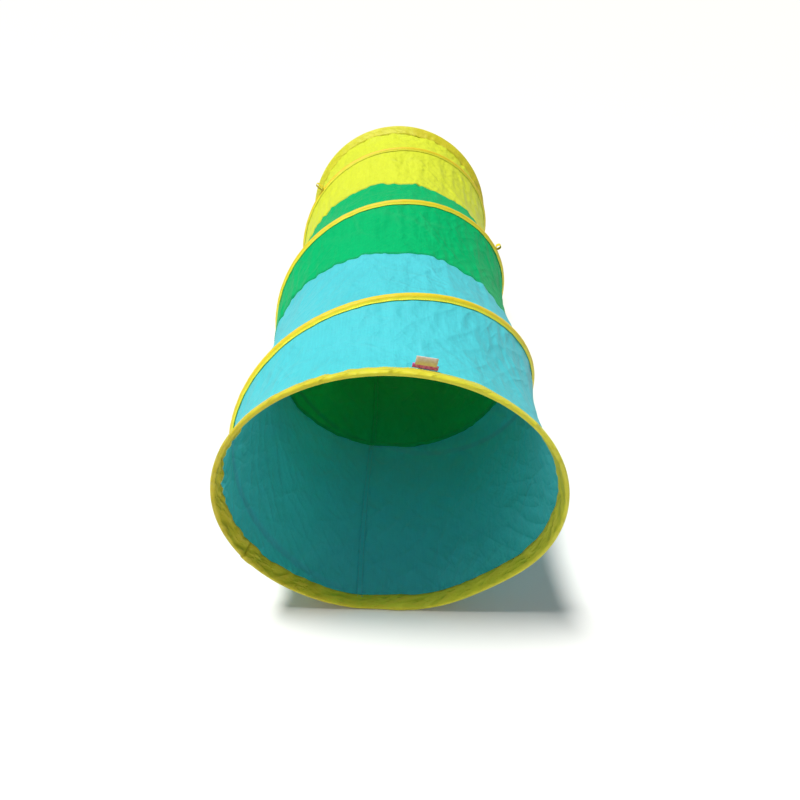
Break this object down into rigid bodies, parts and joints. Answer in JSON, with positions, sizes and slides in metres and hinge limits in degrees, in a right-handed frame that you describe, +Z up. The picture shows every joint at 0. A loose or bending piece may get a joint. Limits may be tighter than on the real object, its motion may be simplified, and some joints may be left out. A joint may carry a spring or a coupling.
{
  "type": "agility tunnel",
  "caption": "Pop-up fabric agility tunnel in teal, green and yellow bays, held open by a sprung wire coil in yellow casings that folds flat along its length.",
  "frame": {"origin": "on the floor below the middle of the tunnel", "axes": "+Y along the tunnel from its mouth to its rear end, +Z up, +X to the right of someone looking into the mouth"},
  "size_m": [0.4896, 1.075, 0.4859],
  "materials": {
    "spring_steel": "satin",
    "ferrule_metal": "satin",
    "casing_tape": "satin",
    "hem_tape": "satin",
    "teal_fabric": "satin",
    "green_fabric": "satin",
    "yellow_fabric": "satin",
    "label_white": "matte",
    "label_pink": "matte"
  },
  "bodies": {
    "front_end": {"front_hoop_wire": "spring_steel", "front_ferrule": "ferrule_metal", "front_hem": "hem_tape", "coil_wire_1": "spring_steel", "coil_casing_1": "casing_tape", "teal_panel": "teal_fabric", "teal_bottom_seam": "teal_fabric", "care_label": "label_white", "label_strip": "label_pink"},
    "first_station": {"teal_green_seam": "green_fabric", "coil_wire_2": "spring_steel", "coil_casing_2": "casing_tape", "green_panel": "green_fabric", "green_bottom_seam": "green_fabric"},
    "second_station": {"green_yellow_seam": "yellow_fabric", "yellow_panel": "yellow_fabric", "yellow_bottom_seam": "yellow_fabric"},
    "rear_end": {"rear_hoop_wire": "spring_steel", "rear_ferrule": "ferrule_metal", "rear_hem": "hem_tape", "coil_wire_3": "spring_steel", "coil_casing_3": "casing_tape"},
    "right_loop": {"right_tie_loop": "casing_tape"},
    "left_loop": {"left_tie_loop": "casing_tape"}
  },
  "joints": [
    {"name": "front_bay_fold", "type": "slide", "parent": "front_end", "child": "first_station", "axis": [0, 1, 0], "range_m": [-0.3213, 0], "stiffness_N_per_m": 15, "springref_m": 0.1, "deforming": ["coil_wire_1", "coil_casing_1", "teal_panel", "teal_bottom_seam"]},
    {"name": "middle_bay_fold", "type": "slide", "parent": "first_station", "child": "second_station", "axis": [0, 1, 0], "range_m": [-0.2998, 0], "deforming": ["coil_wire_2", "coil_casing_2", "green_panel", "green_bottom_seam"]},
    {"name": "rear_bay_fold", "type": "slide", "parent": "second_station", "child": "rear_end", "axis": [0, 1, 0], "range_m": [-0.2938, 0], "deforming": ["coil_wire_3", "coil_casing_3", "yellow_panel", "yellow_bottom_seam"]},
    {"name": "right_loop_shift", "type": "slide", "parent": "first_station", "child": "right_loop", "axis": [0, 1, 0], "range_m": [-0.1917, 0]},
    {"name": "left_loop_shift", "type": "slide", "parent": "second_station", "child": "left_loop", "axis": [0, 1, 0], "range_m": [-0.1135, 0]}
  ],
  "couplings": [
    {"joint": "middle_bay_fold", "follows": "front_bay_fold", "ratio": 0.93122},
    {"joint": "rear_bay_fold", "follows": "front_bay_fold", "ratio": 0.9127},
    {"joint": "right_loop_shift", "follows": "front_bay_fold", "ratio": 0.59478},
    {"joint": "left_loop_shift", "follows": "front_bay_fold", "ratio": 0.3514}
  ]
}
